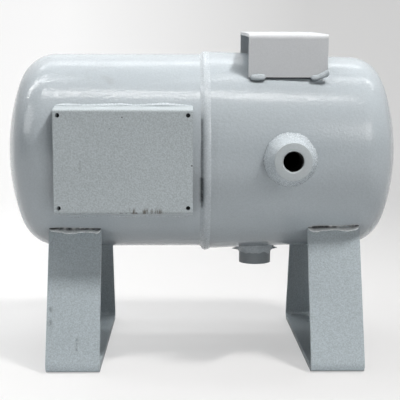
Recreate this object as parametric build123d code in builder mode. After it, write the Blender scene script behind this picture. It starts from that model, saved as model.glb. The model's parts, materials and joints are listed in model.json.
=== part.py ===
"""Horizontal air receiver tank of about 12 litres, welded from pressed steel.

Frame: millimetres, +X along the tank, -Y towards the side with the nameplate and the air port,
+Z up. The origin is on the floor, in the middle of the four holes in the feet.
"""

from build123d import *
from math import cos, radians, sin, sqrt, tan
import os

# ---- Shells: two drawn cups, the right one slipped over the left one ----
axis_height = 210
wall = 2.5
shell_radius = 101
left_end = 201.5
left_crown_radius = 215
left_knuckle_radius = 38
right_end = 198
right_crown_radius = 205
right_knuckle_radius = 33
lap = 11
straight_rim = 12
right_taper = 2.15

# ---- Girth weld, over the rim of the right shell ----
girth_weld_reach = 4.5
girth_weld_crown = 1.2

# ---- Nameplate bracket: a shallow channel with splayed flanges, on the left shell ----
nameplate_width = 132
nameplate_height = 98.5
nameplate_centre_x = -78.5
nameplate_centre_z = 205.5
nameplate_face = 108.2
nameplate_sheet = 2
nameplate_bend = 2.6
nameplate_flange_splay = 10
nameplate_flange_depth = 32
nameplate_hole_radius = 2.1
nameplate_holes_x = 123
nameplate_holes_z = 88
nameplate_weld_radius = 2.4

# ---- Top bracket: an inverted channel on the right shell, leaning to the front ----
top_bracket_start = 42.3
top_bracket_length = 77.5
top_bracket_lean = 4.65
top_bracket_half_width = 65
top_bracket_top = 123
top_bracket_depth = 41.7
top_bracket_sheet = 3
top_bracket_bend = 4.5
stitch_length = 15
stitch_radius = 4.5
stitch_inset = 1

# ---- Threaded sockets: G 1/2 internal thread, bored at its minor diameter ----
thread_minor_radius = 18.631 / 2
thread_chamfer = 1.3
socket_edge_chamfer = 0.5
front_socket_x = 81
front_socket_z = 207
front_socket_radius = 17.8
front_socket_face = 126
front_socket_length = 36
front_weld_start = 3.5
front_weld_radius = 26.2
front_weld_depth = 31
front_weld_bulge = 1.2
drain_x = 55.5
drain_radius = 16.8
drain_face_z = 90
drain_length = 32
drain_weld_start = 10.5
drain_weld_radius = 23
drain_weld_depth = 22
drain_weld_hollow = 1.4

# ---- Feet: two steel straps bent to a U, arms leaning in to the tank ----
foot_centre_x = 129
foot_width = 52
foot_half_base = 114
foot_strap = 5
foot_bend = 8
foot_lean = 18.4
foot_arm_height = 150
foot_hole_radius = 5.5
foot_holes_y = 140
foot_weld_radius = 4.5

tank_axis = Axis((0, 0, axis_height), (1, 0, 0))
right_plane = Plane(origin=(0, 0, axis_height), x_dir=(1, 0, 0), z_dir=(0, -1, 0))
left_plane = Plane(origin=(0, 0, axis_height), x_dir=(-1, 0, 0), z_dir=(0, 1, 0))

left_cup = (left_end, left_crown_radius, left_knuckle_radius, -lap, 0, shell_radius, 0)
rim_radius = shell_radius + wall
right_cup = (
    right_end,
    right_crown_radius,
    right_knuckle_radius,
    0,
    straight_rim,
    rim_radius,
    right_taper,
)


# ---------------------------------------------------------------- the two cups


def cup_line(end, crown_radius, knuckle_radius, mouth, taper_start, mouth_radius, taper, inset):
    """Draw one surface of a cup, from the middle of its closed end to its mouth.

    Local x runs along the tank axis to the closed end, local y is the radius. The closed end is
    a crown arc and a knuckle arc, which is tangent to the crown and to the tapered wall.
    """
    along = Vector(cos(radians(taper)), -sin(radians(taper)))
    outward = Vector(sin(radians(taper)), cos(radians(taper)))
    crown_centre = Vector(end - crown_radius, 0)
    knuckle_line = Vector(taper_start, mouth_radius) - outward * knuckle_radius
    to_crown_centre = crown_centre - knuckle_line
    reach = sqrt((crown_radius - knuckle_radius) ** 2 - to_crown_centre.dot(outward) ** 2)
    knuckle_centre = knuckle_line + along * (to_crown_centre.dot(along) + reach)
    crown_angle = Vector(1, 0).get_angle(knuckle_centre - crown_centre)
    wall_end = knuckle_centre + outward * (knuckle_radius - inset)
    rim = Vector(mouth, mouth_radius - inset)

    CenterArc(crown_centre, crown_radius - inset, 0, crown_angle)
    CenterArc(knuckle_centre, knuckle_radius - inset, crown_angle, 90 - taper - crown_angle)
    if taper:
        wall_bend = Vector(taper_start - inset * tan(radians(taper / 2)), rim.Y)
        Polyline(wall_end, wall_bend, rim)
    else:
        Line(wall_end, rim)


def cup(plane, dimensions):
    """A hollow cup: its outer and inner surfaces, joined across the rim."""
    end, mouth, mouth_radius = dimensions[0], dimensions[3], dimensions[5]
    with BuildPart() as shell:
        with BuildSketch(plane):
            with BuildLine():
                cup_line(*dimensions, 0)
                cup_line(*dimensions, wall)
                Line((end, 0), (end - wall, 0))
                Line((mouth, mouth_radius), (mouth, mouth_radius - wall))
            make_face()
        revolve(axis=tank_axis)
    return shell.part


def cup_form(plane, dimensions):
    """The solid shape inside a cup's outer surface, which trims whatever is welded to it."""
    end, mouth, mouth_radius = dimensions[0], dimensions[3], dimensions[5]
    with BuildPart() as form:
        with BuildSketch(plane):
            with BuildLine():
                cup_line(*dimensions, 0)
                Polyline((end, 0), (mouth, 0), (mouth, mouth_radius))
            make_face()
        revolve(axis=tank_axis)
    return form.part


left_form = cup_form(left_plane, left_cup)
right_form = cup_form(right_plane, right_cup)
right_shell_without_ports = cup(right_plane, right_cup)
front_plane = Plane(
    origin=(front_socket_x, -front_socket_face, front_socket_z), x_dir=(1, 0, 0), z_dir=(0, -1, 0)
)
drain_plane = Plane(origin=(drain_x, 0, drain_face_z), z_dir=(0, 0, -1))

with BuildPart() as shell_right:
    add(right_shell_without_ports)
    with Locations(front_plane):
        Hole(front_socket_radius, depth=front_socket_length)
    with Locations(drain_plane):
        Hole(drain_radius, depth=drain_length)

with BuildPart() as girth_weld:
    with BuildSketch(right_plane):
        with BuildLine():
            toe_left = (-girth_weld_reach, shell_radius)
            toe_right = (girth_weld_reach, rim_radius)
            ThreePointArc(toe_left, (0.5, rim_radius + girth_weld_crown), toe_right)
            Polyline(toe_right, (0, rim_radius), (0, shell_radius), toe_left)
        make_face()
    revolve(axis=tank_axis)


# ---------------------------------------------------------------- bent channels and weld beads


def channel_line(half_base, height, splay, bend, inset):
    """Draw one surface of a bent strip: base along local x, two arms rising along local y."""
    lean = tan(radians(splay))
    side = half_base - inset / cos(radians(splay))
    corner = Vector(side + lean * inset, inset)
    tip = Vector(side + lean * height, height)
    points = (Vector(-tip.X, tip.Y), Vector(-corner.X, corner.Y), corner, tip)
    return FilletPolyline(*points, radius=bend - inset)


def channel_section(shape, thickness):
    """A strip bent into a channel, with its arms splayed outwards by an angle."""
    with BuildSketch() as section:
        with BuildLine():
            outer = channel_line(*shape, 0)
            inner = channel_line(*shape, thickness)
            Line(outer @ 0, inner @ 0)
            Line(outer @ 1, inner @ 1)
        make_face()
    return section.sketch


def channel_outline(shape):
    """The channel's outline with its hollow filled, which trims the beads outside it."""
    with BuildSketch() as outline:
        with BuildLine():
            outer = channel_line(*shape, 0)
            Line(outer @ 1, outer @ 0)
        make_face()
    return outline.sketch


def weld_bead(seam_plane, radius, length, channel_plane, channel_length, outline, form):
    """A rod of weld along the seam, less the channel and the shell that it joins."""
    with BuildPart() as bead:
        with BuildSketch(seam_plane):
            Circle(radius)
        extrude(amount=length)
        with BuildSketch(channel_plane):
            add(outline)
        extrude(amount=channel_length, mode=Mode.SUBTRACT)
        add(form, mode=Mode.SUBTRACT)
    return bead.part


def meeting_point(start, direction):
    """Where a line across the tank, measured from the tank axis, first meets the shell."""
    nearest = start.dot(direction)
    travel = -nearest - sqrt(nearest**2 - start.dot(start) + shell_radius**2)
    return start + direction * travel


# ---------------------------------------------------------------- nameplate bracket

nameplate_start = nameplate_centre_x - nameplate_width / 2
nameplate_shape = (
    nameplate_height / 2,
    nameplate_flange_depth,
    nameplate_flange_splay,
    nameplate_bend,
)
nameplate_section = channel_section(nameplate_shape, nameplate_sheet)
nameplate_outline = channel_outline(nameplate_shape)
nameplate_plane = Plane(
    origin=(nameplate_start, -nameplate_face, nameplate_centre_z), x_dir=(0, 0, -1), z_dir=(1, 0, 0)
)
nameplate_front = Plane(
    origin=(nameplate_centre_x, -nameplate_face, nameplate_centre_z),
    x_dir=(1, 0, 0),
    z_dir=(0, -1, 0),
)

with BuildPart() as nameplate_bracket:
    with BuildSketch(nameplate_plane):
        add(nameplate_section)
    extrude(amount=nameplate_width)
    add(left_form, mode=Mode.SUBTRACT)
    with Locations(nameplate_front):
        with GridLocations(nameplate_holes_x, nameplate_holes_z, 2, 2):
            Hole(nameplate_hole_radius, depth=nameplate_sheet)


def nameplate_weld(side):
    """The bead along the outside of one flange, above (1) or below (-1) the nameplate."""
    edge_z = nameplate_centre_z - axis_height + side * nameplate_height / 2
    splay = radians(nameplate_flange_splay)
    seam = meeting_point(Vector(-nameplate_face, edge_z), Vector(cos(splay), side * sin(splay)))
    seam_plane = Plane(origin=(nameplate_start, seam.X, axis_height + seam.Y), z_dir=(1, 0, 0))
    return weld_bead(
        seam_plane,
        nameplate_weld_radius,
        nameplate_width,
        nameplate_plane,
        nameplate_width,
        nameplate_outline,
        left_form,
    )


# ---------------------------------------------------------------- top bracket

lean_angle = radians(top_bracket_lean)
bracket_up = Vector(0, -sin(lean_angle), cos(lean_angle))
bracket_front = Vector(0, -cos(lean_angle), -sin(lean_angle))
top_bracket_shape = (top_bracket_half_width, top_bracket_depth, 0, top_bracket_bend)
top_bracket_section = channel_section(top_bracket_shape, top_bracket_sheet)
top_bracket_outline = channel_outline(top_bracket_shape)
web_centre = Vector(top_bracket_start, 0, axis_height) + bracket_up * top_bracket_top
top_bracket_plane = Plane(origin=web_centre, x_dir=bracket_front, z_dir=(1, 0, 0))

with BuildPart() as top_bracket:
    with BuildSketch(top_bracket_plane):
        add(top_bracket_section)
    extrude(amount=top_bracket_length)
    add(right_form, mode=Mode.SUBTRACT)


def stitch(side, distance):
    """A short bead at a foot of the top bracket, front (1) or rear (-1), along its length."""
    corner = web_centre + bracket_front * side * top_bracket_half_width
    corner = corner - bracket_up * top_bracket_depth + Vector(distance, 0, 0)
    return weld_bead(
        Plane(origin=corner, z_dir=(1, 0, 0)),
        stitch_radius,
        stitch_length,
        top_bracket_plane,
        top_bracket_length,
        top_bracket_outline,
        right_form,
    )


# ---------------------------------------------------------------- threaded sockets


def socket(plane, radius, length):
    """A round threaded socket, its open face on the plane and its body behind it."""
    with BuildPart() as body:
        with BuildSketch(plane):
            Circle(radius)
            Circle(thread_minor_radius, mode=Mode.SUBTRACT)
        extrude(amount=-length)
        rims = body.edges().filter_by(GeomType.CIRCLE).sort_by(SortBy.RADIUS)
        chamfer(rims[:2], length=thread_chamfer)
        rims = body.edges().filter_by(GeomType.CIRCLE).sort_by(SortBy.RADIUS)
        chamfer(rims[-2:], length=socket_edge_chamfer)
    return body.part


def socket_weld(plane, socket_radius, start, foot_radius, foot_depth, swell):
    """A weld ring round a socket, swollen out (or, negative, hollowed) between its edges.

    Local x is the distance from the socket's axis, local y the depth behind its open face.
    """
    top = Vector(socket_radius, start)
    bottom = Vector(foot_radius, foot_depth)
    slope = (bottom - top).normalized()
    middle = (top + bottom) * 0.5 + Vector(slope.Y, -slope.X) * swell
    with BuildPart() as weld:
        with BuildSketch(plane):
            with BuildLine():
                ThreePointArc(top, middle, bottom)
                Polyline(bottom, (socket_radius, foot_depth), top)
            make_face()
        revolve(axis=Axis(plane.origin, plane.y_dir))
        add(right_form, mode=Mode.SUBTRACT)
    return weld.part


# ---------------------------------------------------------------- feet

foot_shape = (foot_half_base, foot_arm_height, -foot_lean, foot_bend)
foot_section = channel_section(foot_shape, foot_strap)
foot_outline = channel_outline(foot_shape)


def foot_plane(centre_x):
    return Plane(origin=(centre_x - foot_width / 2, 0, 0), x_dir=(0, 1, 0), z_dir=(1, 0, 0))


def foot(centre_x, form):
    """A U strap whose arms end on the tank, with a bolt hole towards each end of its base."""
    with BuildPart() as strap:
        with BuildSketch(foot_plane(centre_x)):
            add(foot_section)
        extrude(amount=foot_width)
        add(form, mode=Mode.SUBTRACT)
        with Locations((centre_x, 0, foot_strap)):
            with GridLocations(0, foot_holes_y, 1, 2):
                Hole(foot_hole_radius, depth=foot_strap)
    return strap.part


def foot_weld(centre_x, side, form):
    """The bead along the top of one arm, on its outer face, front (-1) or rear (1)."""
    lean = radians(foot_lean)
    corner = Vector(side * foot_half_base, -axis_height)
    seam = meeting_point(corner, Vector(-side * sin(lean), cos(lean)))
    seam_plane = Plane(
        origin=(centre_x - foot_width / 2, seam.X, axis_height + seam.Y), z_dir=(1, 0, 0)
    )
    return weld_bead(
        seam_plane,
        foot_weld_radius,
        foot_width,
        foot_plane(centre_x),
        foot_width,
        foot_outline,
        form,
    )


# ---------------------------------------------------------------- files

right_stitch = top_bracket_length - stitch_length - stitch_inset
pieces = {
    "shell_left": cup(left_plane, left_cup),
    "shell_right": shell_right.part,
    "girth_weld": girth_weld.part,
    "nameplate_bracket": nameplate_bracket.part,
    "nameplate_weld_top": nameplate_weld(1),
    "nameplate_weld_bottom": nameplate_weld(-1),
    "top_bracket": top_bracket.part,
    "top_bracket_stitch_front_left": stitch(1, stitch_inset),
    "top_bracket_stitch_front_right": stitch(1, right_stitch),
    "top_bracket_stitch_rear_left": stitch(-1, stitch_inset),
    "top_bracket_stitch_rear_right": stitch(-1, right_stitch),
    "front_socket": socket(front_plane, front_socket_radius, front_socket_length),
    "front_socket_weld": socket_weld(
        Plane(origin=front_plane.origin, x_dir=(1, 0, 0), z_dir=(0, 0, 1)),
        front_socket_radius,
        front_weld_start,
        front_weld_radius,
        front_weld_depth,
        front_weld_bulge,
    ),
    "drain_socket": socket(drain_plane, drain_radius, drain_length),
    "drain_socket_weld": socket_weld(
        Plane(origin=drain_plane.origin, x_dir=(1, 0, 0), z_dir=(0, -1, 0)),
        drain_radius,
        drain_weld_start,
        drain_weld_radius,
        drain_weld_depth,
        -drain_weld_hollow,
    ),
    "foot_left": foot(-foot_centre_x, left_form),
    "foot_right": foot(foot_centre_x, right_form),
    "foot_left_weld_front": foot_weld(-foot_centre_x, -1, left_form),
    "foot_left_weld_rear": foot_weld(-foot_centre_x, 1, left_form),
    "foot_right_weld_front": foot_weld(foot_centre_x, -1, right_form),
    "foot_right_weld_rear": foot_weld(foot_centre_x, 1, right_form),
}

os.makedirs("parts", exist_ok=True)
for label, piece in pieces.items():
    piece.label = label
    export_step(piece, f"parts/{label}.step")
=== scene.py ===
import json
import math

import bpy
from mathutils import Matrix, Vector, noise


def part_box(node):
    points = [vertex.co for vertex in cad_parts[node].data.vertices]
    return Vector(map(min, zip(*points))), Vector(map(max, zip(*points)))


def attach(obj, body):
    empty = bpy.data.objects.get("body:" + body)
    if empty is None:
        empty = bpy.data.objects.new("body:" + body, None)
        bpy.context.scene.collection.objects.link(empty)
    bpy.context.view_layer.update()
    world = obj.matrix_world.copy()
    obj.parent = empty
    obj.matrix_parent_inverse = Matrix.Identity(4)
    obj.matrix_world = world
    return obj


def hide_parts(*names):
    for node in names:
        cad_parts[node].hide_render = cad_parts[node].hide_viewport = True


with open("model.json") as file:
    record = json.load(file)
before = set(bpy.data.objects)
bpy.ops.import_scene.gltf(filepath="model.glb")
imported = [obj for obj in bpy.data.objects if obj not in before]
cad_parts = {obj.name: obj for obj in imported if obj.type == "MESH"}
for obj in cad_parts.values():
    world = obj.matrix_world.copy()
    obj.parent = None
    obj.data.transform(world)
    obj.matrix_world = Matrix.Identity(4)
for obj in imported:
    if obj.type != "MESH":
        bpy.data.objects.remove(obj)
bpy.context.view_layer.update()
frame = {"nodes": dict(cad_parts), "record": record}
nodes = frame["nodes"]
mounts = {mount["name"]: mount for mount in frame["record"]["mounts"]}
scene = bpy.context.scene
scene.view_settings.view_transform = "Standard"

MM = 0.001

# Sizes of the CAD pieces that the welds are fitted to.
AXIS_HEIGHT = 210 * MM
SHELL_RADIUS = 101 * MM
RIM_RADIUS = 103.5 * MM
FOOT_LEAN = math.radians(18.4)
FOOT_REACH = 114 * MM  # from the middle to an arm's outer face, carried on down to the floor
FLANGE_SPLAY = math.radians(10)
BRACKET_LEAN = math.radians(4.65)
BRACKET_HALF_WIDTH = 65 * MM
BRACKET_DEPTH = 41.7 * MM

# A G 1/2 pipe thread.
THREAD_PITCH = 1.814 * MM
THREAD_DEPTH = 1.162 * MM

# Dark tones: the first is for paint pits and for painted shade in the seam's undercut; the second is
# painted shade for slits and holes.
DIRT_AND_SHADE = (0.045, 0.052, 0.056)
DEEP_SHADE = (0.008, 0.008, 0.009)


# ------------------------------------------------------------------ node helpers


def new_material(name):
    material = bpy.data.materials.new(name)
    material.use_nodes = True
    tree = material.node_tree
    return material, tree, tree.nodes["Principled BSDF"]


def plug(tree, socket, value):
    """Link an output socket to an input, or set the input's own value."""
    if isinstance(value, bpy.types.NodeSocket):
        tree.links.new(value, socket)
    else:
        socket.default_value = value


def add_node(tree, kind, settings=None, inputs=None):
    node = tree.nodes.new(kind)
    for key, value in (settings or {}).items():
        setattr(node, key, value)
    for key, value in (inputs or {}).items():
        plug(tree, node.inputs[key], value)
    return node


def math_node(tree, operation, first, second=0.0, third=0.0, clamp=False):
    settings = {"operation": operation, "use_clamp": clamp}
    return add_node(tree, "ShaderNodeMath", settings, {0: first, 1: second, 2: third}).outputs[0]


def times(tree, first, second):
    return math_node(tree, "MULTIPLY", first, second)


def fade(tree, value, start, end):
    """0 where value is at start, 1 where it is at end, smooth between."""
    inputs = {"Value": value, "From Min": start, "From Max": end}
    return add_node(tree, "ShaderNodeMapRange", {"interpolation_type": "SMOOTHSTEP"}, inputs).outputs[0]


def grain(tree, place, size, detail=2.0, stretch=(1, 1, 1)):
    """Noise from 0 to 1 whose features are about size across, in metres."""
    mapping = add_node(tree, "ShaderNodeMapping", {}, {"Vector": place, "Scale": stretch})
    inputs = {"Vector": mapping.outputs[0], "Scale": 1 / size, "Detail": detail}
    return add_node(tree, "ShaderNodeTexNoise", {}, inputs).outputs["Fac"]


def blend(tree, colour, mask, shade):
    """The colour, turned towards a shade where the mask is 1."""
    mix = add_node(tree, "ShaderNodeMix", {"data_type": "RGBA"})
    plug(tree, mix.inputs["Factor"], mask)
    plug(tree, mix.inputs["A"], colour)
    plug(tree, mix.inputs["B"], (*shade, 1))
    return mix.outputs["Result"]


def spot(tree, place, centre, radius):
    """A round mark on a point given in millimetres: 1 in its middle, 0 a little past its radius."""
    point = [value * MM for value in centre]
    gap = add_node(tree, "ShaderNodeVectorMath", {"operation": "DISTANCE"}, {0: place, 1: point})
    return fade(tree, gap.outputs["Value"], radius * 1.3 * MM, radius * 0.6 * MM)


def box_mask(tree, axes, spans, soft):
    """1 inside a box and 0 outside it, soft at its sides.

    spans: (low, high) in millimetres along axis 0, 1 or 2, which are x, y and z.
    """
    mask = 1.0
    for axis, (low, high) in spans.items():
        rise = fade(tree, axes[axis], (low - soft) * MM, (low + soft) * MM)
        fall = fade(tree, axes[axis], (high + soft) * MM, (high - soft) * MM)
        mask = times(tree, mask, times(tree, rise, fall))
    return mask


# ------------------------------------------------------------------ paint


def flecks(tree, place, share):
    """Small dark dots, one in each of that share of the cells of a 9 mm pattern."""
    cells = add_node(tree, "ShaderNodeTexVoronoi", {}, {"Vector": place, "Scale": 1 / (9 * MM)})
    pick = add_node(tree, "ShaderNodeSeparateColor", {}, {0: cells.outputs["Color"]}).outputs[0]
    chosen = math_node(tree, "LESS_THAN", pick, share)
    dot = fade(tree, cells.outputs["Distance"], 0.075, 0.03)
    return times(tree, times(tree, dot, chosen), 0.75)


def paint(name, colour, roughness, mottle, grit, grit_size, peel, peel_size, marks=None, specks=0.0):
    """Sprayed grey paint.

    mottle: how much the tone drifts over centimetres; grit: how much over grit_size;
    peel: depth of the orange peel, in metres, over peel_size; specks: share of dark flecks.
    marks(tree, place, axes) returns masks and their shades for dirt and for painted shade in known
    places.
    A mesh may also carry painted shade for its crevices, point by point, in the float attribute read
    below.
    """
    material, tree, bsdf = new_material(name)
    place = add_node(tree, "ShaderNodeTexCoord").outputs["Object"]
    axes = add_node(tree, "ShaderNodeSeparateXYZ", {}, {0: place}).outputs

    broad = grain(tree, place, 45 * MM, 3.0)
    fine = fade(tree, grain(tree, place, grit_size, 3.0), 0.3, 0.7)
    tone = math_node(tree, "MULTIPLY_ADD", broad, mottle, 1 - mottle / 2 - grit / 2)
    tone = math_node(tree, "ADD", tone, times(tree, fine, grit))
    scaled = add_node(tree, "ShaderNodeVectorMath", {"operation": "SCALE"}, {0: colour, "Scale": tone})
    tinted = scaled.outputs[0]

    if specks:
        tinted = blend(tree, tinted, flecks(tree, place, specks), (0.07, 0.08, 0.085))
    for mask, shade in marks(tree, place, axes) if marks else ():
        tinted = blend(tree, tinted, mask, shade)
    # Painted shade in crevices and at weld toes, given point by point by the mesh, broken up by noise.
    grime = add_node(tree, "ShaderNodeAttribute", {"attribute_name": "grime"}).outputs["Fac"]
    broken_shade = times(tree, grime, fade(tree, grain(tree, place, 8 * MM, 4.0), 0.2, 0.55))
    tinted = blend(tree, tinted, broken_shade, (0.03, 0.034, 0.037))
    plug(tree, bsdf.inputs["Base Color"], tinted)

    spread = 0.12
    dull = math_node(tree, "MULTIPLY_ADD", fine, spread, roughness - spread / 2)
    plug(tree, bsdf.inputs["Roughness"], dull)

    orange_peel = grain(tree, place, peel_size, 1.5)
    inputs = {"Height": orange_peel, "Distance": peel, "Strength": 1.0}
    plug(tree, bsdf.inputs["Normal"], add_node(tree, "ShaderNodeBump", {}, inputs).outputs[0])
    return material


def seam_painted_shade(tree, place, axes):
    """Painted shade in the undercut on the left of the girth weld, deepest below the nameplate's middle.
    """
    ragged = math_node(tree, "ADD", grain(tree, place, 6 * MM, 3.0), 0.3, clamp=True)
    seam_band_shade = box_mask(tree, axes, {0: (-4.6, -2.6), 1: (-110, -40), 2: (160, 246)}, 1.0)
    deepest_shade = box_mask(tree, axes, {0: (-5.4, -2.2), 1: (-110, -60), 2: (165, 190)}, 1.6)
    return [
        (times(tree, seam_band_shade, times(tree, ragged, 0.6)), DIRT_AND_SHADE),
        (times(tree, deepest_shade, ragged), DIRT_AND_SHADE),
    ]


def shell_marks_and_shade(tree, place, axes):
    """Painted shade at the seam and behind and under the brackets, a rubbed patch, and a few pits."""
    # slit is painted shade on the shell under the top bracket's wing; hidden is painted shade behind the
    # nameplate bracket.
    slit = box_mask(tree, axes, {0: (59, 104), 1: (-76, -40), 2: (284.8, 320)}, 0.4)
    hidden = box_mask(tree, axes, {0: (-143, -14), 1: (-110, -50), 2: (157, 254)}, 1)
    rubbed = box_mask(tree, axes, {0: (-130, -85), 1: (-95, -40), 2: (268, 292)}, 9)
    smudge = times(tree, rubbed, fade(tree, grain(tree, place, 16 * MM, 4.0), 0.45, 0.75))
    masks = seam_painted_shade(tree, place, axes)
    masks.append((hidden, (0.02, 0.02, 0.021)))
    masks.append((slit, DEEP_SHADE))
    masks.append((times(tree, smudge, 0.3), (0.25, 0.25, 0.25)))
    pits = (
        ((55, -94, 224), 0.8),
        ((53, -94, 219), 0.9),
        ((59, -98, 210), 0.9),
        ((41, -83, 263), 0.9),
        ((88, -95, 231), 0.8),
        ((29, -100, 217), 0.6),
        ((146, -90, 175), 0.9),
    )
    for centre, radius in pits:
        masks.append((times(tree, spot(tree, place, centre, radius), 0.7), DIRT_AND_SHADE))
    return masks


def nameplate_marks_and_shade(tree, place, axes):
    """Brownish smudges at the lower edge, a scuff, the shade inside three holes, and a few pits.

    The fourth hole, at the upper left, stays pale, as if nearly filled with paint.
    """
    streaks = grain(tree, place, 3.5 * MM, 4.0, (1, 1, 0.3))
    lower = box_mask(tree, axes, {0: (-76, -42), 2: (154, 160.5)}, 2.2)
    edge = box_mask(tree, axes, {0: (-146, -12), 2: (154, 157)}, 1.2)
    scuff = box_mask(tree, axes, {0: (-120, -118.6), 2: (195, 207)}, 1.2)
    masks = [
        (times(tree, lower, fade(tree, streaks, 0.45, 0.62)), (0.12, 0.115, 0.1)),
        (times(tree, edge, fade(tree, streaks, 0.5, 0.8)), (0.12, 0.12, 0.12)),
        (times(tree, scuff, times(tree, streaks, 0.7)), (0.15, 0.16, 0.16)),
    ]
    holes = mounts["nameplate_holes"]
    middle_x, face_y, middle_z = (value / MM for value in holes["pos_m"])
    # Painted shade inside three of the holes.
    for side, level in ((1, 1), (1, -1), (-1, -1)):
        hole_x = middle_x + side * holes["dims"]["spacing_x_mm"] / 2
        hole_z = middle_z + level * holes["dims"]["spacing_y_mm"] / 2
        masks.append((spot(tree, place, (hole_x, face_y + 1.2, hole_z), 2.0), DEEP_SHADE))
    pits = ((-79.3, 247.7, 0.7, 0.07), (-13.5, 202, 0.8, 0.05), (-91, 237, 0.35, 0.1))
    for x, z, radius, shade in pits:
        masks.append((spot(tree, place, (x, face_y, z), radius), (shade, shade, shade)))
    return masks


def foot_marks_and_shade(tree, place, axes):
    """Scuffs, handling dirt low on the arms, painted contact shade along the bottom of the feet, and a
    pit.
    """
    streaks = grain(tree, place, 5 * MM, 4.0, (1, 1, 0.35))
    side = box_mask(tree, axes, {0: (-153, -150), 2: (38, 62)}, 2)
    scratch = box_mask(tree, axes, {0: (-126, -124), 2: (22, 33)}, 1.5)
    low = box_mask(tree, axes, {2: (-5, 22)}, 14)
    return [
        (times(tree, side, fade(tree, streaks, 0.4, 0.7)), (0.14, 0.15, 0.15)),
        (times(tree, scratch, fade(tree, streaks, 0.48, 0.66)), (0.12, 0.13, 0.13)),
        (times(tree, low, fade(tree, streaks, 0.62, 0.95)), (0.22, 0.22, 0.2)),
        # Painted contact shade on the lowest millimetre of the feet, where they stand on the floor.
        (box_mask(tree, axes, {2: (-5, 0.9)}, 0.9), (0.03, 0.033, 0.035)),
        (times(tree, spot(tree, place, (118, -80, 104), 0.7), 0.6), (0.1, 0.1, 0.1)),
    ]


def drain_painted_shade(tree, place, axes):
    """Painted shade on the lower end of the drain socket, up to a wavy line."""
    wave = times(tree, grain(tree, place, 14 * MM, 1.0), 5 * MM)
    height = math_node(tree, "SUBTRACT", axes[2], wave)
    low = fade(tree, height, 102 * MM, 100.5 * MM)
    return [(times(tree, low, 0.6), (0.13, 0.155, 0.17))]


def bare_thread_and_shade():
    """Dark oiled steel, slightly blotchy, for the threads inside the ports, made darker than bare steel
    to paint in the shade inside the bores.
    """
    material, tree, bsdf = new_material("bare_thread_steel_and_shade")
    place = add_node(tree, "ShaderNodeTexCoord").outputs["Object"]
    blotch = grain(tree, place, 3 * MM, 4.0)
    colour = blend(tree, (0.012, 0.012, 0.013, 1), blotch, (0.035, 0.032, 0.03))
    plug(tree, bsdf.inputs["Base Color"], colour)
    bsdf.inputs["Metallic"].default_value = 0.35
    plug(tree, bsdf.inputs["Roughness"], fade(tree, blotch, -0.6, 1.2))
    return material


shell_paint = paint(
    "shell_gloss_paint", (0.405, 0.45, 0.48), roughness=0.15, mottle=0.06, grit=0.09,
    grit_size=1.4 * MM, peel=0.24 * MM, peel_size=2.8 * MM, marks=shell_marks_and_shade, specks=0.012,
)
weld_paint = paint(
    "weld_paint", (0.44, 0.485, 0.515), roughness=0.26, mottle=0.06, grit=0.05,
    grit_size=1.3 * MM, peel=0.03 * MM, peel_size=2.0 * MM, marks=seam_painted_shade,
)
plate_paint = paint(
    "nameplate_satin_paint", (0.395, 0.44, 0.46), roughness=0.5, mottle=0.08, grit=0.3,
    grit_size=1.3 * MM, peel=0.2 * MM, peel_size=1.9 * MM, marks=nameplate_marks_and_shade, specks=0.01,
)
bracket_paint = paint(
    "bracket_satin_paint", (0.55, 0.57, 0.59), roughness=0.42, mottle=0.05, grit=0.06,
    grit_size=1.3 * MM, peel=0.05 * MM, peel_size=1.8 * MM, specks=0.008,
)
socket_paint = paint(
    "socket_satin_paint", (0.43, 0.47, 0.49), roughness=0.38, mottle=0.04, grit=0.08,
    grit_size=1.1 * MM, peel=0.05 * MM, peel_size=1.4 * MM, marks=drain_painted_shade,
)
foot_paint = paint(
    "foot_satin_paint", (0.39, 0.445, 0.475), roughness=0.5, mottle=0.08, grit=0.3,
    grit_size=1.3 * MM, peel=0.2 * MM, peel_size=1.9 * MM, marks=foot_marks_and_shade, specks=0.012,
)
# Much paler than the weld paint: painted light, for the lit tops of the foot beads.
painted_light_weld_paint = paint(
    "painted_light_weld_paint", (0.74, 0.77, 0.78), roughness=0.24, mottle=0.06, grit=0.05,
    grit_size=1.3 * MM, peel=0.04 * MM, peel_size=2.0 * MM,
)
thread_steel_and_shade = bare_thread_and_shade()

slot_paint = {
    "shell_paint": shell_paint,
    "weld_paint": weld_paint,
    "nameplate_paint": plate_paint,
    "bracket_paint": bracket_paint,
    "socket_paint": socket_paint,
    "foot_paint": foot_paint,
}
for subpart in frame["record"]["subparts"]:
    mesh = nodes[subpart["node"]].data
    mesh.materials.clear()
    mesh.materials.append(slot_paint[subpart["material_slot"]])


def soften_edges(name, width):
    """Round the cut edges of a sheet piece a little, as paint and deburring leave them."""
    bevel = nodes[name].modifiers.new("soft_edges", "BEVEL")
    bevel.width = width
    bevel.segments = 2
    bevel.limit_method = "ANGLE"
    bevel.angle_limit = math.radians(40)
    bevel.harden_normals = True


for sheet_piece in ("nameplate_bracket", "top_bracket", "foot_left", "foot_right"):
    soften_edges(sheet_piece, 0.45 * MM)


# ------------------------------------------------------------------ mesh helpers


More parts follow.
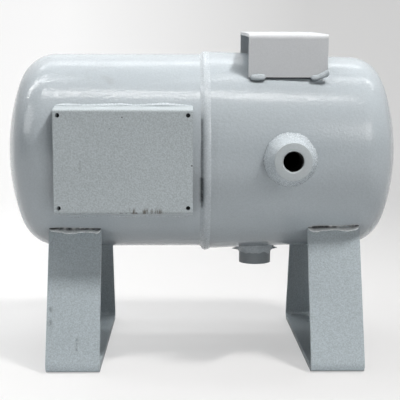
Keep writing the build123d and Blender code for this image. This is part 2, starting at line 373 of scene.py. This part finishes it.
def loft(name, rings, loop, slot, replaced, grimes=None, inner=None, sharp_above=60, cover=None):
    """A closed piece through rings of points, in place of the CAD nodes named in replaced.

    loop joins the last ring to the first; the crevice shade values, if given, are painted shade for each
    point of a ring;
    inner(point) picks the faces that get the near-black thread steel and its painted shade; edges bent
    by more than sharp_above degrees stay sharp; cover is a paint to use in place of the slot's own.
    """
    count = len(rings[0])
    verts = [point for ring in rings for point in ring]
    faces = []
    for i in range(len(rings) if loop else len(rings) - 1):
        here = i * count
        there = (i + 1) % len(rings) * count
        for j in range(count):
            after = (j + 1) % count
            faces.append((here + j, here + after, there + after, there + j))
    if not loop:
        faces.append(tuple(reversed(range(count))))
        faces.append(tuple(range(len(verts) - count, len(verts))))
    mesh = bpy.data.meshes.new(name)
    mesh.from_pydata([tuple(v) for v in verts], [], faces)
    mesh.validate()
    piece = bpy.data.objects.new(name, mesh)
    mesh.polygons.foreach_set("use_smooth", [True] * len(mesh.polygons))
    mesh.set_sharp_from_angle(angle=math.radians(sharp_above))
    mesh.materials.append(cover or slot_paint[slot])
    if grimes:
        attribute = mesh.attributes.new("grime", "FLOAT", "POINT")
        attribute.data.foreach_set("value", [grimes[i % count] for i in range(len(verts))])
    if inner:
        mesh.materials.append(thread_steel_and_shade)
        for polygon in mesh.polygons:
            polygon.material_index = int(inner(polygon.center))
    scene.collection.objects.link(piece)
    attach(piece, "root")
    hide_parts(*replaced)


def wobble(x, size, seed):
    """Smooth noise from about -1 to 1 along a line."""
    return noise.noise(Vector((x / size, seed, 0.37)))


def end_taper(share):
    """0 at both ends of a bead, 1 over most of its length."""
    edge = min(share, 1 - share) / 0.12
    return math.sqrt(max(0.0, 1 - (1 - min(edge, 1.0)) ** 2))


def bead(name, corners, first, second, section, swell, seed, replaced, rough=0.3, cover=None):
    """A weld bead along a corner between two surfaces.

    corners: points along the seam; first, second: unit directions along the two surfaces, away
    from the corner; section: (along first, along second, outward, painted crevice shade) in millimetres;
    swell(share): how large the section is at that share of the length; rough: how lumpy it is;
    cover: a paint to use in place of the weld paint.
    """
    rings = []
    for i, corner in enumerate(corners):
        share = i / (len(corners) - 1)
        a = first(corner)
        b = second(corner)
        outward = (a + b).normalized()
        size = swell(share) * end_taper(share) * MM
        along = corner.x / MM
        ring = []
        for j, (u, v, w, _) in enumerate(section):
            lump = 1 + rough * wobble(along, 5.5, seed + j * 0.3)
            lump += 0.4 * rough * wobble(along, 2.2, seed + j * 0.9 + 5)
            slide = a * rough * 3.2 * wobble(along, 13, seed + 9)
            spread = (a * u + b * v) * (0.7 + 0.3 * lump)
            ring.append(corner + (spread + slide + outward * w * lump) * size)
        rings.append(ring)
    grimes = [grime for _, _, _, grime in section]
    loft(name, rings, False, "weld_paint", replaced, grimes, cover=cover)


def spaced(points, count):
    """Points evenly spaced in x along a line of points sorted by x."""
    result = []
    tiny = 1e-9
    low, high = points[0].x, points[-1].x
    for i in range(count):
        x = low + (high - low) * i / (count - 1)
        for before, after in zip(points, points[1:]):
            if x <= after.x + tiny:
                share = (x - before.x) / max(after.x - before.x, tiny)
                result.append(before.lerp(after, share))
                break
    return result


def edge_line(node, test):
    """The vertices of a CAD node that pass a test, in order of x, one for each x."""
    chosen = {}
    for vertex in nodes[node].data.vertices:
        point = vertex.co.copy()
        if test(point):
            chosen[round(point.x / MM, 1)] = point
    return [chosen[key] for key in sorted(chosen)]


def up_the_shell(point):
    """The direction along the shell, square to its axis, that leads to the top of the tank."""
    outward = Vector((0, point.y, point.z - AXIS_HEIGHT)).normalized()
    side = 1 if point.y > 0 else -1
    return Vector((0, -outward.z, outward.y)) * side


def down_the_shell(point):
    return -up_the_shell(point)


# ------------------------------------------------------------------ welds of the feet


def foot_bead(side_name, x_sign, place, y_sign):
    """The wavy bead on top of one arm, with the undercut between it and the shell darkened by painted
    shade.
    """
    node = f"foot_{side_name}"

    def on_outer_face(point):
        surface = FOOT_REACH - point.z * math.tan(FOOT_LEAN)
        return point.z > 100 * MM and abs(y_sign * point.y - surface) < 0.08 * MM

    line = edge_line(node, on_outer_face)
    # The last value in each row is painted shade, darkest in the undercut next to the shell.
    section = (
        (3.0, 0.0, -0.5, 0.1),
        (2.1, 0.0, 0.2, 0.6),
        (1.0, 0.0, 0.4, 1.0),
        (0.0, 0.2, 0.7, 0.95),
        (0.0, 1.1, 2.7, 0.2),
        (0.0, 1.9, 3.8, 0.0),
        (0.0, 2.9, 3.5, 0.0),
        (0.0, 3.8, 2.3, 0.0),
        (0.0, 4.4, 0.9, 0.0),
        (0.0, 4.6, -0.6, 0.3),
        (0.0, 0.0, -1.6, 0.0),
    )
    bead(
        f"{node}_bead_{place}",
        spaced(line, 90),
        up_the_shell,
        lambda p: Vector((0, y_sign * math.sin(FOOT_LEAN), -math.cos(FOOT_LEAN))),
        section,
        lambda share: 0.95 + 0.15 * math.sin(9 * share + y_sign + x_sign),
        seed=3.1 * x_sign + 1.7 * y_sign,
        replaced=[f"{node}_weld_{place}"],
        rough=0.5,
        # The paler paint is painted light, for the light the bead's top catches under the tank.
        cover=painted_light_weld_paint,
    )


for foot_side, foot_sign in (("left", -1), ("right", 1)):
    for foot_place, foot_y in (("front", -1), ("rear", 1)):
        foot_bead(foot_side, foot_sign, foot_place, foot_y)


# ------------------------------------------------------------------ stitches of the top bracket

# A section for bead(): (along the bracket, along the shell, outward, painted crevice shade) in
# millimetres.
BLOB = (
    (3.2, 0.0, -0.6, 0.2),
    (2.9, 0.0, 0.9, 0.0),
    (1.9, 0.0, 2.5, 0.0),
    (0.7, 0.0, 3.6, 0.0),
    (0.0, 0.7, 3.7, 0.0),
    (0.0, 2.0, 3.0, 0.0),
    (0.0, 3.1, 1.7, 0.0),
    (0.0, 3.8, 0.4, 0.3),
    (0.0, 3.9, -0.8, 0.5),
    (0.0, 0.0, -2.2, 0.0),
)
bracket_up = Vector((0, -math.sin(BRACKET_LEAN), math.cos(BRACKET_LEAN)))
bracket_front = Vector((0, -math.cos(BRACKET_LEAN), -math.sin(BRACKET_LEAN)))
web_centre = Vector(mounts["top_bracket_face"]["pos_m"])


def stitch(side_name, side, place, shift, length, rise, swell, seed):
    """A short lumpy bead at one corner of the bracket, which may climb towards its outer end.

    shift: how far its middle is to the right of the CAD weld's; rise: how high it would climb
    over its whole length, of which it climbs the last three quarters. All are in millimetres.
    """
    name = f"top_bracket_stitch_{side_name}_{place}"
    low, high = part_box(name)
    corner = web_centre + bracket_front * side * BRACKET_HALF_WIDTH - bracket_up * BRACKET_DEPTH
    middle = (low.x + high.x) / 2 + shift * MM
    count = 40
    line = []
    for i in range(count):
        share = i / (count - 1)
        x = middle + (share - 0.5) * length * MM
        climb = bracket_up * rise * max(0.0, share - 0.25) * MM
        line.append(Vector((x, corner.y, corner.z)) + climb)
    bead(name + "_bead", line, lambda p: bracket_up, down_the_shell, BLOB, swell, seed, [name])


def even_swell(share):
    return 0.75 + 0.35 * math.sin(math.pi * share)


def climbing_swell(share):
    return 0.7 + 0.45 * share


for bracket_side, bracket_sign in (("front", 1), ("rear", -1)):
    stitch(bracket_side, bracket_sign, "left", 0.6, 15.5, 0.0, even_swell, 2.0 + bracket_sign)
    stitch(bracket_side, bracket_sign, "right", 1.2, 18.5, 6.0, climbing_swell, 7.0 + bracket_sign)


# ------------------------------------------------------------------ welds of the nameplate bracket

# A section for bead(): (along the shell, along the flange, outward, painted crevice shade) in
# millimetres.
FLANGE_BEAD = (
    (2.6, 0.0, -0.4, 0.1),
    (2.2, 0.0, 0.3, 0.0),
    (1.0, 0.0, 1.1, 0.0),
    (0.0, 0.2, 1.5, 0.0),
    (0.0, 1.2, 1.1, 0.0),
    (0.0, 2.4, 0.4, 0.0),
    (0.0, 2.8, -0.5, 0.1),
    (0.0, 0.0, -1.5, 0.0),
)


def flange_bead(place, side):
    """The thin bead where one splayed flange of the nameplate bracket ends on the shell."""
    low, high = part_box("nameplate_bracket")

    def on_shell(point):
        reach = math.hypot(point.y, point.z - AXIS_HEIGHT)
        outer = (point.z - (high.z if side > 0 else low.z)) * side > -0.6 * MM
        return abs(reach - SHELL_RADIUS) < 0.1 * MM and outer

    ends = edge_line("nameplate_bracket", on_shell)
    bead(
        f"nameplate_bead_{place}",
        spaced(ends, 150),
        up_the_shell if side > 0 else down_the_shell,
        lambda p: Vector((0, -math.cos(FLANGE_SPLAY), -side * math.sin(FLANGE_SPLAY))),
        FLANGE_BEAD,
        lambda share: 0.9 + 0.25 * math.sin(17 * share + side),
        seed=5.5 * side,
        replaced=[f"nameplate_weld_{place}"],
    )


flange_bead("top", 1)
flange_bead("bottom", -1)


# ------------------------------------------------------------------ girth weld


def girth_bead():
    """The ring of weld over the rim: broad and low, with faint ripples and a thicker underside.

    The section is given as (along the tank, out from the rim's radius), in millimetres.
    """
    section = (
        (-5.6, -2.9),
        (-4.6, -2.35),
        (-3.2, -1.5),
        (-1.9, -0.4),
        (-0.4, 0.5),
        (1.0, 1.0),
        (2.6, 0.8),
        (4.4, 0.35),
        (6.0, -0.4),
        (5.4, -1.2),
        (0.2, -1.2),
        (-0.3, -3.1),
    )
    steps = 420
    scale_count = 84
    rings = []
    for i in range(steps):
        angle = 2 * math.pi * i / steps
        arc = Vector((math.sin(angle), math.cos(angle)))
        around = Vector((0, math.sin(angle), -math.cos(angle)))
        under = max(0.0, math.cos(angle)) ** 24
        crown = 0.65 + 0.35 * math.cos(angle)
        ring = []
        for j, (x, rise) in enumerate(section):
            ripple = noise.noise(Vector((arc.x * 11, arc.y * 11, j * 0.3)))
            drift = noise.noise(Vector((arc.x * 7, arc.y * 7, 3 + j * 0.15)))
            fish_scale = 0.03 * math.sin(angle * scale_count + x * 0.7)
            lift = rise + under * 1.5 * (rise > -0.5)
            if rise > 0:
                lift = lift * crown + 0.15 * ripple + fish_scale
            along = x + (0.5 * drift if abs(x) > 1 else 0)
            reach = RIM_RADIUS + lift * MM
            ring.append(Vector((along * MM, 0, AXIS_HEIGHT)) + around * reach)
        rings.append(ring)
    loft("girth_bead", rings, True, "weld_paint", ["girth_weld"])


girth_bead()


# ------------------------------------------------------------------ threaded sockets


def shell_depth(start, axis, spoke):
    """How far behind a point the right shell's surface is, from its radius just past the weld."""
    _, place, _, _ = nodes["shell_right"].ray_cast(start + spoke * 5 * MM, -axis)
    radius = math.hypot(place.y, place.z - AXIS_HEIGHT)
    offset = Vector((0, start.y, start.z - AXIS_HEIGHT))
    along = offset.dot(axis)
    return along - math.sqrt(along**2 - offset.length_squared + radius**2)


def threaded_socket(name, mount, radius, length, face_to_mount):
    """A round socket with a helical pipe thread and turned edges. Its sizes are in millimetres.

    The cross-section runs from the back of the bore to its mouth, over the face and back along
    the outside. Every point of the bore keeps its depth, and its radius follows the thread.
    Returns the middle of the face, the axis, and two directions across it.
    """
    axis = Vector(mount["axis"])
    face = Vector(mount["pos_m"]) + axis * face_to_mount * MM
    across = Vector((1, 0, 0))
    upright = axis.cross(across)
    bore = mount["dims"]["r_mm"] * MM
    per_turn = 10
    depths = [i * THREAD_PITCH / per_turn for i in range(int(length * MM / THREAD_PITCH) * per_turn)]
    outside = (
        (radius - 0.25, 0.0),
        (radius - 0.1, 0.05),
        (radius, 0.35),
        (radius, 1.2),
        (radius, length * 0.5),
        (radius, length - 0.5),
        (radius - 0.5, length),
        (bore / MM + 1.3, length),
    )
    rings = []
    steps = 96
    for i in range(steps):
        turn = i / steps
        angle = 2 * math.pi * turn
        spoke = across * math.cos(angle) + upright * math.sin(angle)
        ring = []
        for depth in reversed(depths):
            wave = 0.5 - 0.5 * math.cos(2 * math.pi * (depth / THREAD_PITCH - turn))
            thread = bore + THREAD_DEPTH * wave**0.8
            mouth = bore + 1.35 * MM - depth
            back = bore + 1.3 * MM - (length * MM - depth)
            ring.append(face + spoke * max(thread, mouth, back) - axis * depth)
        for reach, depth in outside:
            ring.append(face + spoke * reach * MM - axis * depth * MM)
        rings.append(ring)

    def inside(point):
        offset = point - face
        depth = -offset.dot(axis)
        return depth > 1.5 * MM and (offset + axis * depth).length < bore + THREAD_DEPTH * 1.05

    loft(name + "_threaded", rings, True, "socket_paint", [name], inner=inside, sharp_above=25)
    return face, axis, across, upright


def socket_bead(name, place, radius, start, toe, bulge, lip, tips=0.0):
    """The ring of weld from the side of a socket down to the shell, which it meets at the toe.

    radius: of the socket; start: how far below its face the weld begins, which wavers by lip;
    toe: the weld's own outer radius; bulge: how far it swells out between the two; tips: how far
    a point of run-out weld stands out on each side. All are in millimetres.
    """
    face, axis, across, upright = place
    rings = []
    steps = 300
    sunk = 1.2
    profile_points = 10
    # Painted shade at the weld's toe, where it meets the shell.
    toe_grime = [0.25, 0.4, 0.0]
    grimes = [0.0] * profile_points + toe_grime
    for i in range(steps):
        angle = 2 * math.pi * i / steps
        spoke = across * math.cos(angle) + upright * math.sin(angle)
        swing = Vector((math.cos(angle), math.sin(angle), toe * 0.1))
        wide = toe + 0.9 * noise.noise(swing * 2.6)
        begin = start + lip * noise.noise(swing * 3.1 + Vector((4, 0, 0)))
        toe_from = face + spoke * wide * MM
        reach = shell_depth(toe_from, axis, spoke)
        collar = face + spoke * radius * MM - axis * begin * MM
        foot = toe_from - axis * reach
        fall = foot - collar
        push = (spoke * fall.length - fall.normalized() * fall.dot(spoke)).normalized()
        ring = [collar - spoke * sunk * MM]
        for j in range(profile_points):
            share = j / (profile_points - 1)
            lump = 0.3 * noise.noise(Vector((swing.x * 3, swing.y * 3, share * 1.6)))
            ripple = 0.05 * math.sin(angle * 30 + 3 * share)
            lift = bulge * math.sin(math.pi * share) + (lump + ripple) * math.sin(math.pi * share)
            if j == 0:
                lift = 0.12
            tip = tips * abs(math.cos(angle)) ** 30 * max(0.0, 1 - abs(share - 4 / 9) * 6)
            ring.append(collar.lerp(foot, share) + (push * lift + spoke * tip) * MM)
        ring.append(foot - axis * sunk * MM)
        ring.append(face + spoke * (radius - sunk) * MM - axis * reach)
        rings.append(ring)
    loft(name + "_bead", rings, True, "weld_paint", [name + "_weld"], grimes)


FRONT_RADIUS = 17.8
DRAIN_RADIUS = 16.8
front_place = threaded_socket("front_socket", mounts["front_port"], FRONT_RADIUS, 36, face_to_mount=18)
drain_place = threaded_socket("drain_socket", mounts["drain_port"], DRAIN_RADIUS, 32, face_to_mount=16)
socket_bead("front_socket", front_place, FRONT_RADIUS, start=3.5, toe=26.2, bulge=1.2, lip=0.5)
socket_bead("drain_socket", drain_place, DRAIN_RADIUS, start=11.5, toe=21.5, bulge=-0.8, lip=2.2, tips=6)


# ------------------------------------------------------------------ studio


def stage_mesh(name, verts, faces, albedo, glow):
    """Matt paper with a glow of its own, given as its strength at the object's left and right."""
    mesh = bpy.data.meshes.new(name)
    mesh.from_pydata(verts, [], faces)
    mesh.polygons.foreach_set("use_smooth", [True] * len(faces))
    stage = bpy.data.objects.new(name, mesh)
    scene.collection.objects.link(stage)
    material, tree, bsdf = new_material(name + "_paper")
    bsdf.inputs["Base Color"].default_value = (albedo, albedo, albedo, 1)
    bsdf.inputs["Roughness"].default_value = 0.9
    bsdf.inputs["Specular IOR Level"].default_value = 0.1
    bsdf.inputs["Emission Color"].default_value = (1, 1, 1, 1)
    left, right = glow
    place = add_node(tree, "ShaderNodeTexCoord").outputs["Object"]
    sideways = add_node(tree, "ShaderNodeSeparateXYZ", {}, {0: place}).outputs[0]
    inputs = {"Value": sideways, "From Min": -0.4, "From Max": 0.4, "To Min": left, "To Max": right}
    strength = add_node(tree, "ShaderNodeMapRange", {}, inputs).outputs[0]
    plug(tree, bsdf.inputs["Emission Strength"], strength)
    mesh.materials.append(material)
    return stage


def sweep(width, front, back, height, bend):
    """A pale floor that curves up into a backdrop.

    It glows, which keeps the shadows on it pale. It shows in the object's reflections but gives
    it no diffuse light, which the bounce cards do instead.
    """
    profile = [(front, 0.0)]
    steps = 16
    for i in range(steps + 1):
        angle = math.pi / 2 * i / steps
        profile.append((back - bend + bend * math.sin(angle), bend - bend * math.cos(angle)))
    profile.append((back, height))
    verts = [(x, y, z) for y, z in profile for x in (-width / 2, width / 2)]
    faces = [(2 * i, 2 * i + 1, 2 * i + 3, 2 * i + 2) for i in range(len(profile) - 1)]
    floor = stage_mesh("floor", verts, faces, albedo=0.3, glow=(0.67, 0.36))
    floor.visible_diffuse = False


def bounce_card(name, front, back, albedo, glow):
    """Stands in for a stretch of the floor in the light that it throws back on the object."""
    low, high = front * MM, back * MM
    verts = [(-1.6, low, -MM), (1.6, low, -MM), (1.6, high, -MM), (-1.6, high, -MM)]
    card = stage_mesh(name, verts, [(0, 1, 2, 3)], albedo, (glow, glow))
    card.visible_camera = False
    card.visible_glossy = False
    card.visible_shadow = False


def soft_light(name, place, target, size_x, size_y, radiance, colour=(1, 1, 1), gloss=True):
    """A rectangular light of a given radiance, facing its target."""
    data = bpy.data.lights.new(name, "AREA")
    data.shape = "RECTANGLE"
    data.size = size_x
    data.size_y = size_y
    data.energy = radiance * math.pi * size_x * size_y
    data.color = colour
    light = bpy.data.objects.new(name, data)
    scene.collection.objects.link(light)
    light.visible_glossy = gloss
    direction = Vector(target) - Vector(place)
    aim = direction.to_track_quat("-Z", "Y").to_matrix()
    light.matrix_world = Matrix.Translation(place) @ aim.to_4x4()


def sky(zenith, horizon, colour):
    """Faint fill from all round: horizon is its strength at eye level and below, zenith overhead."""
    world = bpy.data.worlds.new("studio")
    scene.world = world
    world.use_nodes = True
    tree = world.node_tree
    direction = add_node(tree, "ShaderNodeTexCoord").outputs["Generated"]
    up = add_node(tree, "ShaderNodeSeparateXYZ", {}, {0: direction}).outputs[2]
    inputs = {"Value": up, "From Min": 0.0, "From Max": 0.8, "To Min": horizon, "To Max": zenith}
    strength = add_node(tree, "ShaderNodeMapRange", {}, inputs).outputs[0]
    background = tree.nodes["Background"]
    plug(tree, background.inputs["Strength"], strength)
    background.inputs["Color"].default_value = (*colour, 1)


TUBES_HEIGHT = 1.45
TARGET = (0, 0, 0.2)
WARM = (1, 0.975, 0.955)
sweep(width=24, front=-10, back=2.2, height=6, bend=0.9)
bounce_card("bounce_front", -700, -110, albedo=0.9, glow=0.8)
bounce_card("bounce_under", -110, 1600, albedo=0.02, glow=0.0)
soft_light("key", (0.64, -0.5, 1.5), TARGET, 0.26, 0.035, radiance=710, colour=WARM, gloss=False)
soft_light("front_fill", (1.1, -1.7, 1.1), TARGET, 1.0, 0.7, radiance=3.6, colour=WARM)
soft_light("front_strip", (-0.1, -0.48, TUBES_HEIGHT), TARGET, 1.1, 0.1, radiance=13, colour=WARM)
soft_light("rear_strip", (-0.1, 0.82, TUBES_HEIGHT), TARGET, 1.5, 0.04, radiance=11)
soft_light("left_strip", (-0.85, 0.15, TUBES_HEIGHT), TARGET, 0.06, 1.2, radiance=22)
soft_light("right_strip", (0.55, 0.15, TUBES_HEIGHT), TARGET, 0.06, 1.2, radiance=9)
soft_light("left_fill", (-1.8, -0.5, 1.1), TARGET, 0.9, 0.9, radiance=2.6)
soft_light("backdrop_light", (0, 0.9, 2.6), (0, 2.2, 0.9), 3.0, 0.5, radiance=11, gloss=False)
sky(zenith=0.0, horizon=0.08, colour=(0.95, 0.98, 1))


# ------------------------------------------------------------------ camera

camera_place = Vector((-23.9, -971.9, 272.3)) * MM
camera_yaw = math.radians(1.207)
camera_pitch = math.radians(6.788)
camera_roll = math.radians(-0.12)
forward = Vector(
    (
        math.sin(camera_yaw) * math.cos(camera_pitch),
        math.cos(camera_yaw) * math.cos(camera_pitch),
        -math.sin(camera_pitch),
    )
)
level_right = Vector((math.cos(camera_yaw), -math.sin(camera_yaw), 0))
level_up = level_right.cross(forward)
camera_right = level_right * math.cos(camera_roll) - level_up * math.sin(camera_roll)
camera_up = camera_right.cross(forward)
camera_data = bpy.data.cameras.new("camera")
camera_data.sensor_width = 36
camera_data.lens = 82.3
camera = bpy.data.objects.new("camera", camera_data)
scene.collection.objects.link(camera)
turn = Matrix((camera_right, camera_up, -forward)).transposed()
camera.matrix_world = Matrix.Translation(camera_place) @ turn.to_4x4()
scene.camera = camera
